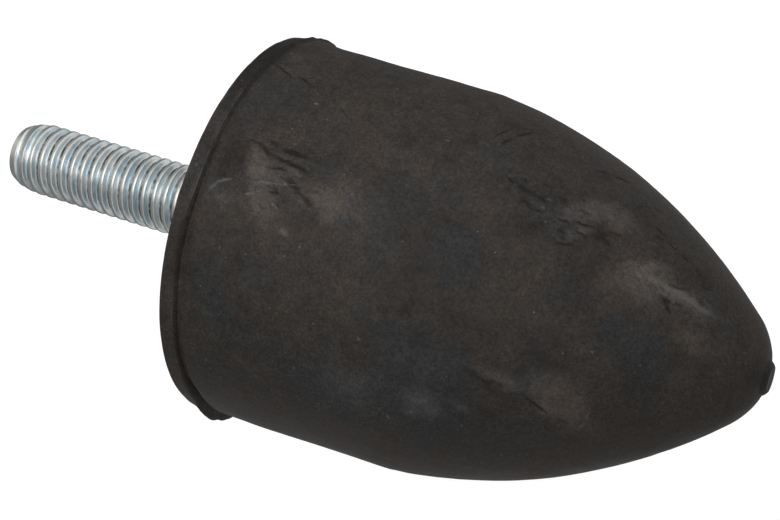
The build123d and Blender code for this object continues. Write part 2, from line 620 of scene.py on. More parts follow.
# Scrapes that turned the skin pale, and single pale grains
SCRAPES = (
    Mark((258.9, 3.5), (255.7, 4.3), 0.5, 0.5),
    Mark((255.8, 4.2), (253.7, 5.9), 0.4, 0.7),
    Mark((257.0, 8.1), (256.0, 8.9), 0.3, 1.0),
    Mark((256.0, 8.8), (254.6, 10.0), 0.2, 0.6),
    Mark((252.6, 9.0), (252.0, 10.6), 0.24, 0.9),
    Mark((252.0, 10.6), (251.6, 12.2), 0.18, 0.7),
    Mark((251.3, 12.2), (251.1, 12.5), 0.36, 1.0),
    Mark((251.0, 12.6), (250.6, 14.2), 0.2, 0.5),
    Mark((257.2, 11.5), (258.3, 12.5), 0.34, 1.0),
    Mark((263.5, 13.6), (264.5, 14.8), 0.9, 0.5),
    Mark((228.2, 40.9), (228.0, 41.7), 0.16, 0.8),
    Mark((231.6, 41.0), (231.8, 41.3), 0.3, 0.8),
    Mark((235.8, 52.6), (234.8, 55.8), 0.8, 0.4),
    Mark((235.0, 55.2), (233.4, 59.0), 1.1, 0.6),
    Mark((233.8, 58.4), (233.2, 61.6), 0.8, 0.5),
    Mark((227.2, 59.8), (229.4, 61.2), 0.5, 0.3),
    Mark((236.4, 52.6), (238.6, 53.6), 0.5, 0.4),
    Mark((229.0, 53.4), (228.8, 54.4), 0.6, 0.35),
    Mark((309.8, 50.9), (305.2, 51.8), 0.34, 0.4),
    Mark((305.2, 51.8), (298.0, 52.0), 0.3, 0.35),
    Mark((309.5, 30.1), (309.9, 30.4), 0.45, 0.9),
    Mark((286.0, 25.9), (286.3, 26.2), 0.4, 0.8),
    Mark((273.5, 51.0), (273.9, 51.2), 0.32, 1.0),
    Mark((332.0, 26.3), (334.0, 26.5), 0.3, 0.6),
    Mark((332.0, 28.6), (332.8, 29.5), 0.5, 0.8),
    Mark((223.8, 10.8), (224.1, 11.1), 0.34, 1.0),
    Mark((223.3, 27.8), (223.5, 28.0), 0.26, 0.9),
    Mark((231.4, 10.3), (231.6, 10.6), 0.3, 0.5),
)


@dataclass(frozen=True)
class RubberFinish:
    """Matt black moulded rubber, mottled, dusty and scuffed, with painted shade in its dents, cuts and folds
    and on the lip's upper side, and a painted highlight along the lip's edges. It knows the wall's radius by
    height.
    """

    wall_radius: Callable[[float], float]
    brown: Colour = (0.0385, 0.032, 0.0275)
    cool: Colour = (0.0295, 0.0294, 0.0292)
    dust: Colour = (0.17, 0.16, 0.15)
    # Dark scuffs, partly painted shade in the folds, dents and cuts that are sunk in the relief
    scuff_and_shade: Colour = (0.0085, 0.0075, 0.007)
    roughness: float = 0.68
    specular: float = 0.16
    front_angle: float = 264.0
    # A mark's soft stroke is so many of its widths and lengths wide and long, and so many widths longer
    stroke_width: float = 0.7
    stroke_length: float = 0.6
    stroke_end: float = 0.35

    def _marks(self, surface: Surface, marks: Sequence[Mark], place: Socket, full: float) -> Socket:
        """Add up the strokes of a list of marks.

        Args:
            surface: The material's tree.
            marks: The marks.
            place: The unrolled coordinates in millimetres.
            full: The share of a mark's height at which it is at its full strength.

        Returns:
            Their joint mask.
        """
        total: object = 0.0
        for mark in marks:
            (left, low), (right, top) = [
                (math.radians(angle - self.front_angle) * self.wall_radius(height), height)
                for angle, height in (mark.start, mark.end)
            ]
            across, along = right - left, top - low
            half_length = math.hypot(across, along) * self.stroke_length + mark.width * self.stroke_end
            links = {
                "Before": total,
                "Place": place,
                "Middle": ((left + right) / 2, (low + top) / 2, 0.0),
                "Turn": (0.0, 0.0, -math.atan2(across, along)),
                "Half Size": (mark.width * self.stroke_width, half_length, 1.0),
                "Strength": mark.strength,
            }
            total = surface.group(surface.effects.mark, links)
        return surface.span(total, 0.0, full)

    def _masks(self, surface: Surface) -> dict[str, Socket]:
        """Build the masks and noises that the colour and the relief share.

        Args:
            surface: The material's tree.

        Returns:
            The masks and noises, by name.
        """
        place = surface.place
        unrolled = surface.add("ShaderNodeUVMap", uv_map="unrolled").outputs["UV"]
        ragged = surface.shaken(unrolled, place, 1.3, 0.4, 1.5)
        frayed = surface.shaken(unrolled, place, 0.35, 0.3)
        cloudy = surface.shaken(unrolled, place, 2.2, 1.4)
        layers = {
            "dents": (DENTS, ragged, 0.75),
            "cuts": (CUTS, frayed, 0.6),
            "scrapes": (SCRAPES, frayed, 0.5),
            "dark": (DARK_PATCHES_AND_LIP_SHADE, cloudy, 0.8),
            "pale": (PALE_PATCHES, cloudy, 0.8),
            "creased": (CREASED, cloudy, 0.5),
            "cool": (COOL, cloudy, 0.5),
        }
        on = {name: self._marks(surface, *layer) for name, layer in layers.items()}
        on["mottle"] = surface.effect("mottle", Seed=3.0)
        on["bloom"] = surface.noise(place, 2.4, 5.0, 0.68, 12.0, 0.4)
        on["grain"] = surface.noise(place, 0.3, 2.0, 0.6, 5.0)
        drawn = surface.vector("MULTIPLY", place, (1.0, 1.0, 0.35))
        on["crease"] = surface.noise(drawn, 0.62, 3.0, 0.6, 18.0)
        on["folded"] = surface.product(on["creased"], surface.span(on["crease"], 0.53, 0.68))
        on["rubbed"] = surface.product(on["creased"], surface.span(on["crease"], 0.45, 0.33))
        on["worn"] = surface.product(on["scrapes"], surface.span(on["bloom"], 0.3, 0.6, 0.45, 1.0))
        crowd = surface.span(surface.noise(place, 9.0, 2.0, 0.5, 21.0), 0.42, 0.6)
        crowd = surface.math("MAXIMUM", crowd, on["cool"])
        specks = surface.effect("specks", Spacing=0.9 * MM, Radius=0.2, Share=0.5)
        on["specks"] = surface.product(specks, crowd)
        return on

    def _colour(self, surface: Surface, on: dict[str, Socket]) -> Socket:
        """Mix the two blacks, shade them, and lay dust and scuffs over them, with painted shade in the
        folds, dents and cuts and a painted highlight along the lip's edges.

        Args:
            surface: The material's tree.
            on: The masks and noises, by name.

        Returns:
            The colour.
        """
        hue = surface.noise(surface.place, 7.0, 3.0, 0.6, 7.0, 0.5)
        chill = surface.math("ADD", surface.span(hue, 0.48, 0.62, 0.0, 0.7), on["cool"], clamp=True)
        tones = [
            surface.uneven(on["mottle"], 0.44, 1.56),
            surface.uneven(on["grain"], 0.62, 1.38),
            # Darker patches, with painted shade on the lip's upper side
            surface.math("MULTIPLY_ADD", on["dark"], -0.5, 1.0),
            surface.math("MULTIPLY_ADD", on["pale"], 0.8, 1.0),
            surface.math("MULTIPLY_ADD", on["rubbed"], 0.35, 1.0),
            surface.span(on["crease"], 0.35, 0.65, 0.93, 1.07, smooth=False),
        ]
        shade = surface.product(*tones)
        tint = surface.add("ShaderNodeCombineColor", {0: shade, 1: shade, 2: shade}).outputs[0]
        black = surface.blend(1.0, surface.blend(chill, self.brown, self.cool), tint, "MULTIPLY")
        powder = surface.weighted(
            (surface.span(on["bloom"], 0.5, 0.85), 0.09),
            (surface.product(on["pale"], on["bloom"]), 0.12),
        )
        uneven = surface.span(on["crease"], 0.3, 0.52, 0.45, 0.88)
        # Dust on the lip's rubbed edges, which is also a painted highlight along the ridge
        edge = surface.add("ShaderNodeAttribute", attribute_name="edge_wear_and_highlight").outputs["Fac"]
        patchy = surface.span(on["bloom"], 0.42, 0.62, 0.04, 0.4)
        return surface.layered(
            black,
            (powder, self.dust),
            # Dark scuffs and painted shade: the folds, dents and cuts, which the relief sinks, are darkened
            (surface.product(on["folded"], 0.4), self.scuff_and_shade),
            (surface.product(on["dents"], uneven), self.scuff_and_shade),
            (surface.product(on["cuts"], 0.8), self.scuff_and_shade),
            (surface.product(on["worn"], 0.5), self.dust),
            (surface.product(edge, patchy), self.dust),
            (surface.product(on["specks"], 0.6), self.dust),
        )

    def make(self, effects: SharedEffects) -> bpy.types.Material:
        """Build the material.

        Args:
            effects: The shared groups.

        Returns:
            The material.
        """
        surface = Surface("scuffed_rubber", effects)
        on = self._masks(surface)
        rough = surface.uneven(on["mottle"], self.roughness - 0.1, self.roughness + 0.14)
        heights = {"grain": 0.02, "bloom": 0.05, "dents": -0.1,
                   "cuts": -0.12, "folded": -0.05, "specks": 0.04}
        relief = surface.weighted(*((on[name], height) for name, height in heights.items()))
        return surface.finish(relief, {
            "Base Color": self._colour(surface, on),
            "Roughness": surface.math("MULTIPLY_ADD", on["worn"], 0.15, rough),
            "Specular IOR Level": self.specular,
        })


@dataclass(frozen=True)
class ZincFinish:
    """Blue-white zinc plating on a rolled thread, darker and rougher in the roots, where the darker colour
    is painted shade.
    """

    bright: Colour = (0.78, 0.82, 0.83)
    blue: Colour = (0.57, 0.68, 0.73)
    crest: Colour = (0.55, 0.56, 0.52)
    # Painted shade in the thread roots; the scratches take the same dark colour
    root: Colour = (0.07, 0.065, 0.055)
    metallic: float = 0.92
    roughness: float = 0.35

    def make(self, effects: SharedEffects) -> bpy.types.Material:
        """Build the material.

        Args:
            effects: The shared groups.

        Returns:
            The material.
        """
        surface = Surface("zinc_plating", effects)
        place = surface.place
        cut = surface.add("ShaderNodeAttribute", attribute_name="thread_cut").outputs["Fac"]
        mottle = surface.effect("mottle", Seed=31.0)
        film = surface.noise(place, 2.2, 2.0, 0.5, 40.0, 0.4)
        grain = surface.noise(place, 0.25, 3.0, 0.6, 9.0)
        lines = surface.effect("scratches", Stretch=(4.0, 4.0, 0.5), Seed=2.0)
        # Painted shade: the deepest part of the thread's cut, the roots, is darkened, mottled and made
        # rougher
        painted_root_shade = surface.product(surface.span(cut, 0.9, 0.99), surface.span(mottle, 0.38, 0.58, 0.5, 1.0))
        colour = surface.layered(
            self.bright,
            (surface.span(film, 0.38, 0.62), self.blue),
            (surface.span(cut, 0.14, 0.02), self.crest),
            (painted_root_shade, self.root),
            (surface.product(lines, 0.4), self.root),
        )
        rough = surface.uneven(mottle, self.roughness - 0.08, self.roughness + 0.12)
        return surface.finish(surface.weighted((grain, 0.008), (mottle, 0.02), (lines, -0.006)), {
            "Base Color": colour,
            "Metallic": self.metallic,
            "Roughness": surface.math("MULTIPLY_ADD", painted_root_shade, 0.25, rough),
        })


@dataclass(frozen=True)
class PlateFinish:
    """Dull plated sheet steel, with the dark film of bonding agent round its edge."""

    steel: Colour = (0.50, 0.52, 0.52)
    dull: Colour = (0.36, 0.38, 0.38)
    film: Colour = (0.03, 0.028, 0.027)
    roughness: float = 0.42
    film_width: float = 1.1

    def make(self, effects: SharedEffects, edge_radius: float) -> bpy.types.Material:
        """Build the material.

        Args:
            effects: The shared groups.
            edge_radius: The disc's radius in metres.

        Returns:
            The material.
        """
        surface = Surface("plated_sheet_steel", effects)
        place = surface.place
        mottle = surface.effect("mottle", Seed=51.0)
        lines = surface.effect("scratches", Stretch=(1.0, 7.0, 1.0), Seed=5.0)
        edge = surface.noise(place, 2.4, 4.0, 0.6, 60.0)
        grain = surface.noise(place, 0.3, 3.0, 0.6, 63.0)
        flat = surface.vector("MULTIPLY", place, (1.0, 1.0, 0.0))
        radius = surface.vector("LENGTH", flat, output="Value")
        width = self.film_width * MM
        reach = surface.math("MULTIPLY_ADD", edge, width, radius)
        film = surface.span(reach, edge_radius - 0.9 * width, edge_radius - 0.1 * width)
        colour = surface.layered(
            self.steel,
            (surface.span(mottle, 0.38, 0.62), self.dull),
            (surface.product(lines, 0.5), self.steel),
            (film, self.film),
        )
        rough = surface.uneven(mottle, self.roughness - 0.08, self.roughness + 0.14)
        return surface.finish(surface.weighted((grain, 0.012), (film, 0.05), (lines, -0.008)), {
            "Base Color": colour,
            "Metallic": surface.math("SUBTRACT", 1.0, film),
            "Roughness": surface.math("MULTIPLY_ADD", film, 0.25, rough),
        })


def linked(name: str, data: bpy.types.ID) -> bpy.types.Object:
    """Create an object and link it to the scene.

    Args:
        name: Its name.
        data: Its mesh, lamp or camera.

    Returns:
        The new object.
    """
    thing = bpy.data.objects.new(name, data)
    bpy.context.scene.collection.objects.link(thing)
    return thing


@dataclass
class Rings:
    """Radius and height of each ring and column of a turned form, and its stretches by name."""

    radius: np.ndarray
    height: np.ndarray
    parts: dict[str, slice]

    def weights(self, *rows: tuple[slice, float]) -> np.ndarray:
        """Give some rings a value, and all others zero.

        Args:
            *rows: The rings, each stretch with its value.

        Returns:
            The value of each ring and column.
        """
        weight = np.zeros(self.radius.shape)
        for ring, value in rows:
            weight[ring] = value
        return weight


@dataclass
class Outline:
    """Half section of a turned form, sampled ring by ring: radius and height in millimetres."""

    points: list[Spot] = field(default_factory=list)

    def _add(self, points: list[Spot]) -> slice:
        """Add rings, and say which they are."""
        self.points += points
        return slice(len(self.points) - len(points), len(self.points))

    def path(self, start: Spot, *stops: tuple[Spot, int]) -> list[slice]:
        """Add straight stretches from point to point, without the last point.

        Args:
            start: Radius and height where the first stretch starts.
            *stops: The points that they end in, each with the number of rings on the way to it.

        Returns:
            Which rings each stretch has.
        """
        stretches = []
        for end, rings in stops:
            run, rise = end[0] - start[0], end[1] - start[1]
            shares = [ring / rings for ring in range(rings)]
            points = [(start[0] + run * share, start[1] + rise * share) for share in shares]
            stretches.append(self._add(points))
            start = end
        return stretches

    def arc(self, centre: Spot, radius: float, start: float, end: float, rings: int) -> slice:
        """Add rings along an arc, without its last point.

        Args:
            centre: Radius and height of its centre.
            radius: Its radius.
            start: Its first angle from the outward direction, in radians.
            end: Its last angle.
            rings: How many rings.

        Returns:
            Which rings they are.
        """
        angles = [start + (end - start) * ring / rings for ring in range(rings)]
        return self._add([(centre[0] + radius * math.cos(angle), centre[1] + radius * math.sin(angle))
                          for angle in angles])

    def turned(self, columns: int, parts: dict[str, slice]) -> Rings:
        """Repeat the section in every column. Its stretches are known by name."""
        radius, height = [np.repeat(side[:, None], columns, axis=1) for side in np.array(self.points).T]
        return Rings(radius, height, parts)


@dataclass(frozen=True)
class Lathe:
    """Makes a closed mesh from rings round the Z axis, with a pole at each end."""

    columns: int
    seam_angle: float

    def angles(self) -> np.ndarray:
        """Angle of each column, in radians."""
        return math.radians(self.seam_angle) + np.arange(self.columns) * 2 * math.pi / self.columns

    def build(self, name: str, rings: Rings, poles: Spot,
              shift: np.ndarray | float = 0.0) -> bpy.types.Object:
        """Build the mesh object.

        Args:
            name: The object's name.
            rings: Its rings, from the first pole outwards.
            poles: Heights of the first and last pole.
            shift: How far each ring and column is off the axis in X and in Y.

        Returns:
            The new object.
        """
        count = len(rings.radius)
        angle = self.angles()
        off = np.zeros((2, *rings.radius.shape)) + shift
        x = rings.radius * np.cos(angle) + off[0]
        y = rings.radius * np.sin(angle) + off[1]
        body = np.stack([x, y, rings.height], axis=-1).reshape(-1, 3)
        ends = np.array([[0.0, 0.0, poles[0]], [off[0, -1].mean(), off[1, -1].mean(), poles[1]]])
        points = np.concatenate([body, ends]) * MM
        here = np.arange(self.columns)
        after = (here + 1) % self.columns
        faces: list[tuple[int, ...]] = []
        for ring in range(count - 1):
            low = ring * self.columns
            high = low + self.columns
            faces += zip(low + here, low + after, high + after, high + here)
        last = (count - 1) * self.columns
        first_pole = count * self.columns
        faces += [(first_pole, b, a) for a, b in zip(here, after)]
        faces += [(last + a, last + b, first_pole + 1) for a, b in zip(here, after)]
        mesh = bpy.data.meshes.new(name)
        mesh.from_pydata(points.tolist(), [], [tuple(int(v) for v in face) for face in faces])
        mesh.polygons.foreach_set("use_smooth", [True] * len(mesh.polygons))
        mesh.update()
        return linked(name, mesh)

    @staticmethod
    def store(piece: bpy.types.Object, name: str, values: np.ndarray) -> None:
        """Keep a value of each ring and column as a point attribute, which is zero at the poles."""
        layer = piece.data.attributes.new(name, "FLOAT", "POINT")
        layer.data.foreach_set("value", np.append(values.ravel(), [0.0, 0.0]).astype(np.float32))

    def unroll(self, piece: bpy.types.Object, front_angle: float) -> None:
        """Give the mesh a UV map of its unrolled wall, true in millimetres across the front line.

        Args:
            piece: A piece of this lathe.
            front_angle: The angle of the line that is u = 0, in degrees.
        """
        mesh = piece.data
        layer = mesh.uv_layers.new(name="unrolled")
        vertex = np.zeros(len(mesh.loops), np.int32)
        mesh.loops.foreach_get("vertex_index", vertex)
        points = np.zeros(len(mesh.vertices) * 3)
        mesh.vertices.foreach_get("co", points)
        points = points.reshape(-1, 3)[vertex] / MM
        turn = np.arctan2(points[:, 1], points[:, 0]) - math.radians(front_angle)
        turn = (turn + math.pi) % (2 * math.pi) - math.pi
        starts = np.zeros(len(mesh.polygons), np.int32)
        mesh.polygons.foreach_get("loop_start", starts)
        face_of_loop = np.repeat(np.arange(len(starts)), np.diff(np.append(starts, len(vertex))))
        widest = np.maximum.reduceat(turn, starts)[face_of_loop]
        turn = np.where(widest - turn > math.pi, turn + 2 * math.pi, turn)
        pair = np.stack([turn * np.hypot(points[:, 0], points[:, 1]), points[:, 2]], axis=1)
        layer.data.foreach_set("uv", pair.astype(np.float32).ravel())


def moulded_relief() -> MeshRule:
    """Build the rule that sinks a moulded skin by soft waves and fine pits.

    Returns:
        The rule. Its depths and sizes are in millimetres, and the attribute relief says where it works.
    """
    rule = MeshRule("moulded_relief")
    kinds = [(rule.takes(f"{kind} Depth"), rule.takes(f"{kind} Size")) for kind in ("Wave", "Pit")]
    seed = rule.takes("Seed")
    normal = rule.add("GeometryNodeInputNormal").outputs[0]
    weight = rule.add("GeometryNodeInputNamedAttribute", {"Name": "relief"}, data_type="FLOAT").outputs[0]
    total: object = 0.0
    for depth, size in kinds:
        scale = rule.math("DIVIDE", 1.0 / MM, size)
        links = {"Vector": rule.position, "W": seed, "Scale": scale, "Detail": 2.0}
        noise = rule.add("ShaderNodeTexNoise", links, noise_dimensions="4D").outputs["Fac"]
        total = rule.math("MULTIPLY_ADD", rule.span(noise, 0.3, 0.7), depth, total)
    sink = rule.product(total, weight, -MM)
    rule.move({"Geometry": rule.geometry, "Offset": rule.scaled(normal, sink)})
    return rule


def rolled_thread() -> MeshRule:
    """Build the rule that cuts a right-hand thread into a plain shank below z = 0.

    Returns:
        The rule, in millimetres. The attribute thread_cut gets the share of its depth that is cut.
    """
    rule = MeshRule("rolled_thread")
    names = ("Crest Radius", "Pitch", "Depth", "Crest Width", "Root Width", "Runout", "Start")
    major, pitch, depth, crest, root, runout, start = [rule.takes(name) for name in names]
    hair = 0.001

    millimetres = rule.vector("DIVIDE", rule.position, (MM, MM, MM))
    parts = rule.add("ShaderNodeSeparateXYZ", {0: millimetres}).outputs
    turn = rule.math("DIVIDE", rule.math("ARCTAN2", parts["Y"], parts["X"]), 2 * math.pi)
    along = rule.math("DIVIDE", rule.math("SUBTRACT", parts["Z"], start), pitch)
    phase = rule.math("FRACT", rule.math("SUBTRACT", along, turn))
    from_crest = rule.product(rule.math("ABSOLUTE", rule.math("SUBTRACT", phase, 0.5)), pitch)
    flank_start = rule.product(crest, 0.5)
    flank_end = rule.product(rule.math("SUBTRACT", pitch, root), 0.5)
    rounding = rule.add("ShaderNodeFloatCurve",
                        {"Value": rule.span(from_crest, flank_start, flank_end, smooth=False)})
    for place, value in ((0.2, 0.07), (0.82, 0.93)):
        rounding.mapping.curves[0].points.new(place, value)
    rounding.mapping.update()
    fade = rule.span(parts["Z"], 0.0, rule.product(runout, -1.0))
    wall = rule.math("SUBTRACT", major, rule.product(rounding.outputs[0], fade, depth))
    flat = rule.vector("MULTIPLY", millimetres, (1.0, 1.0, 0.0))
    radius = rule.vector("LENGTH", flat, output="Value")
    kept = rule.math("MINIMUM", radius, wall)
    scale = rule.math("DIVIDE", kept, rule.math("MAXIMUM", radius, hair))
    upright = rule.vector("MULTIPLY", millimetres, (0.0, 0.0, 1.0))
    placed = rule.scaled(rule.vector("ADD", rule.scaled(flat, scale), upright), MM)
    below = rule.math("LESS_THAN", parts["Z"], -hair)
    share_cut = rule.math("DIVIDE", rule.math("SUBTRACT", radius, kept), depth)
    links = {"Geometry": rule.geometry, "Name": "thread_cut", "Value": rule.product(share_cut, below)}
    stored = rule.add("GeometryNodeStoreNamedAttribute", links, data_type="FLOAT", domain="POINT").outputs[0]
    rule.move({"Geometry": stored, "Selection": below, "Position": placed})
    return rule


def waves(angles: np.ndarray, kinds: Sequence[Wave]) -> np.ndarray:
    """Add up waves round the axis.

    Args:
        angles: The angles to read, in radians.
        kinds: For each wave, how many there are in a turn, its height and its phase.

    Returns:
        Their sum.
    """
    return sum(height * np.sin(count * angles + phase) for count, height, phase in kinds)


def from_line(angles: np.ndarray, line: float) -> np.ndarray:
    """Measure angles in radians from a line in degrees, as -180 to 180 degrees."""
    return (np.degrees(angles) - line + 180.0) % 360.0 - 180.0


@dataclass
class RubberBody:
    """The moulded ogive with its lip, torn flash, groove, nose and gate nub, in millimetres."""

    lip_radius: float = 24.6
    lip_height: float = 2.0
    lip_corner: float = 0.2
    ridge_height: float = 0.12
    ridge_width: float = 0.5
    groove_width: float = 1.3
    groove_depth: float = 0.55
    barrel_root_radius: float = 24.4
    shoulder_radius: float = 24.15
    shoulder_height: float = 27.4
    shoulder_turn: float = 6.1
    ogive_radius: float = 66.2
    nose_radius: float = 9.0
    nub_radius: float = 2.15
    nub_top_radius: float = 1.6
    nub_rise: float = 0.335
    # How far the nub is off the axis towards +X, and the radius and run over which the nose follows it
    nub_shift: float = 0.1
    nub_shift_reach: float = 6.2
    nub_shift_fade: float = 4.0
    pocket_radius: float = 22.63
    pocket_height: float = 2.0
    pocket_corner: float = 0.06
    head_radius: float = 9.03
    head_height: float = 4.5
    lathe: Lathe = Lathe(columns=372, seam_angle=84.0)

    # How far the torn flash stands out of the lip, by angle, on its two sides
    torn_edge: tuple[Spot, ...] = (
        (160.0, 0.0), (165.0, 0.3), (170.0, 0.46), (174.0, 0.42), (180.0, 0.46), (183.5, 0.34),
        (187.0, 0.46), (190.0, 0.28), (195.0, 0.12), (202.0, 0.0), (324.0, 0.0),
        (336.0, 0.05), (342.0, 0.6), (346.0, 0.86), (351.0, 1.14), (355.0, 1.18),
        (361.0, 1.06), (367.0, 0.9), (373.0, 0.4), (379.0, 0.0),
    )
    # How far the whole lip is out of round, by angle
    out_of_round: tuple[Spot, ...] = (
        (184.0, 0.0), (192.0, 0.12), (205.0, 0.2), (236.0, 0.22), (258.0, 0.06), (275.0, 0.0), (300.0, 0.0),
        (310.0, -0.08), (324.0, -0.09), (336.0, -0.1), (344.0, 0.0), (544.0, 0.0),
    )
    # How wide the groove behind the lip is open, by angle
    groove_opening: tuple[Spot, ...] = (
        (176.0, 0.5), (190.0, 0.45), (204.0, 0.38), (222.0, 0.38), (240.0, 0.5), (258.0, 0.6),
        (266.0, 0.95), (275.0, 1.25), (283.0, 1.0), (290.0, 0.85), (306.0, 0.9), (313.0, 0.95),
        (317.0, 1.05), (321.0, 1.0), (328.0, 1.4), (342.0, 1.7), (360.0, 1.7), (376.0, 1.1), (400.0, 0.8),
        (536.0, 0.5),
    )
    # How far rubber that ran into the groove fills it and the foot of the barrel, by angle
    groove_fill: tuple[Spot, ...] = (
        (150.0, 0.0), (168.0, 0.34), (186.0, 0.4), (196.0, 0.3), (208.0, 0.14), (236.0, 0.1), (256.0, 0.0),
        (510.0, 0.0),
    )
    # How much the lip's edges are rubbed pale, by angle, which also stands as a painted highlight along the
    # ridge, most towards the front
    pale_edges_and_highlight: tuple[Spot, ...] = (
        (180.0, 0.1), (218.0, 0.15), (232.0, 0.8), (262.0, 1.0), (300.0, 0.5), (345.0, 0.5), (370.0, 0.2),
        (540.0, 0.1),
    )
    # How far the front edge of the lip draws back, by angle
    drawn_back: tuple[Spot, ...] = (
        (230.0, 0.0), (258.0, 0.0), (266.0, 0.2), (272.0, 0.62), (277.0, 0.72), (283.0, 0.3),
        (292.0, 0.05), (330.0, 0.0),
    )
    # How far the moulding's middle is off the axis towards its lower side, by height
    drift: tuple[Spot, ...] = (
        (2.8, 0.0), (6.0, 0.03), (12.5, 0.10), (20.0, 0.05), (25.0, 0.10), (29.0, 0.155), (33.0, 0.11),
        (41.0, 0.12), (46.0, 0.09), (51.0, 0.05), (56.0, 0.03), (60.0, 0.0), (63.0, -0.02), (66.0, -0.06),
        (68.5, -0.09),
    )
    # How far the skin stands out of the mould's true form, by height
    swell: tuple[Spot, ...] = (
        (2.8, 0.02), (6.0, 0.11), (9.5, 0.15), (12.5, 0.11), (15.0, 0.1), (20.0, 0.08), (25.0, 0.06),
        (29.0, 0.04), (33.0, 0.06), (37.0, 0.05), (41.0, 0.09), (46.0, 0.1), (51.0, 0.06), (56.0, 0.05),
        (60.0, 0.06), (63.0, 0.11), (66.0, 0.15), (68.5, 0.1),
    )
    drift_angle: float = 353.8
    # How much the nose is filled out round the nub, and where that is most and how far it reaches
    nose_fill: float = 0.16
    nose_fill_radius: float = 2.6
    nose_fill_reach: float = 2.4
    # How much the torn edge's reach varies, how deep its notches are, how much it leans up, and how far in
    # the lip's edge goes where it is drawn back
    torn_variation: float = 1.4
    notch_depth: float = 0.05
    torn_lean: float = 0.2
    drawn_in: float = 0.25
    # The groove's edges: heights of its root and of the barrel's foot over the lip, how far a wide opening
    # lifts the root, and how far the root and the lip's edge follow the lip where it is drawn back
    root_rise: float = 0.28
    foot_rise: float = 0.15
    root_lift: float = 0.3
    root_back: float = 0.6
    edge_back: float = 0.12
    # Rubber in the groove fills it up to this height, and fades up the foot of the barrel over this length
    fill_height: float = 2.4
    fill_fade: float = 3.0
    dent_depth: float = 0.13
    cut_depth: float = 0.08
    # A flat on the lower shoulder: its angle, half its width in degrees, height over the shoulder, half its
    # length and its depth
    flat_angle: float = 350.0
    flat_width: float = 16.0
    flat_rise: float = 0.6
    flat_length: float = 1.5
    flat_depth: float = 0.06
    # Waves of the torn edge, of the nub's side and of its top
    torn_waves: tuple[Wave, ...] = ((23, 0.03, 0.7), (41, 0.022, 2.1), (67, 0.018, 4.0))
    nub_waves: tuple[Wave, ...] = ((2, 0.025, 0.5), (5, 0.012, 0.0))
    nub_top_waves: tuple[Wave, ...] = ((1, 0.02, 1.0), (3, 0.012, 0.0))

    def _by_angle(self, knots: Sequence[Spot]) -> np.ndarray:
        """Read a list of (angle in degrees, value) at each column, eased between its knots."""
        first = knots[0][0]
        return self._eased(knots, (np.degrees(self.lathe.angles()) - first) % 360.0 + first)

    @staticmethod
    def _eased(knots: Sequence[Spot], where: np.ndarray) -> np.ndarray:
        """Read values between knots, with a soft start and end at each knot.

        Args:
            knots: Places and values, rising by place.
            where: The places to read.

        Returns:
            The values there.
        """
        places, values = np.array(knots).T
        index = np.clip(np.searchsorted(places, where) - 1, 0, len(places) - 2)
        share = np.clip((where - places[index]) / (places[index + 1] - places[index]), 0.0, 1.0)
        eased = share * share * (3.0 - 2.0 * share)
        return values[index] + (values[index + 1] - values[index]) * eased

    def _ogive(self) -> tuple[Spot, float]:
        """Find the ogive's arc.

        Returns:
            Its centre's radius and height, and its first angle.
        """
        barrel = self.shoulder_height - self.lip_height - self.groove_width
        taper = math.atan2(self.barrel_root_radius - self.shoulder_radius, barrel)
        start = taper + math.radians(self.shoulder_turn)
        centre = (self.shoulder_radius - self.ogive_radius * math.cos(start),
                  self.shoulder_height - self.ogive_radius * math.sin(start))
        return centre, start

    def _nose_height(self) -> float:
        """Height of the nose's centre, from the tangency of nose and ogive."""
        centre, _ = self._ogive()
        return centre[1] + math.sqrt((self.ogive_radius - self.nose_radius) ** 2 - centre[0] ** 2)

    def wall_radius(self, height: float) -> float:
        """Give the wall's radius at a height on the barrel or the ogive.

        Args:
            height: The height in millimetres.

        Returns:
            The radius in millimetres.
        """
        if height < self.shoulder_height:
            share = height / self.shoulder_height
            return self.barrel_root_radius + (self.shoulder_radius - self.barrel_root_radius) * share
        centre, _ = self._ogive()
        return centre[0] + math.sqrt(self.ogive_radius ** 2 - (height - centre[1]) ** 2)

    def _section(self) -> Rings:
        """Sample the section, from the room for the stud's head outwards and up to the tip.

        Returns:
            The rings, the same in every column.
        """
        outline = Outline()
        corner = self.lip_corner
        outline.path(
            (self.head_radius * 0.2, self.head_height),
            ((self.head_radius, self.head_height), 2),
            ((self.head_radius, self.pocket_height), 2),
            ((self.pocket_radius, self.pocket_height), 3),
            ((self.pocket_radius, self.pocket_corner), 3),
            ((self.pocket_radius + self.pocket_corner, 0.0), 2),
            ((self.lip_radius - corner, 0.0), 4),
        )
        edge = outline.arc((self.lip_radius - corner, corner), corner, -math.pi / 2, 0.0, 5)
        ridge_low = self.lip_height - self.ridge_width
        bead = (self.lip_radius + self.ridge_height * 0.45, ridge_low + 0.08)
        valley = (self.lip_radius - 0.04, ridge_low + 0.22)
        ridge = (self.lip_radius + self.ridge_height, self.lip_height - self.ridge_width * 0.2)
        root = (self.barrel_root_radius - self.groove_depth, self.lip_height + self.groove_width * 0.36)
        names = ("lip", "bead", "valley", "ridge_low", "ridge_top", "flank", "root", "barrel")
        stretches = outline.path(
            (self.lip_radius, corner),
            ((self.lip_radius, ridge_low - 0.1), 6),
            (bead, 2),
            (valley, 2),
            (ridge, 2),
            ((self.lip_radius, self.lip_height), 2),
            (root, 7),
            ((self.barrel_root_radius, self.lip_height + self.groove_width), 8),
            ((self.shoulder_radius, self.shoulder_height), 56),
        )
        parts = {"edge": edge, **dict(zip(names, stretches))}
        centre, start = self._ogive()
        nose_z = self._nose_height()
        tangency = math.atan2(nose_z - centre[1], -centre[0])
        nub_base = math.acos(self.nub_radius / self.nose_radius)
        nub_z = nose_z + self.nose_radius * math.sin(nub_base)
        outline.arc(centre, self.ogive_radius, start, tangency, 104)
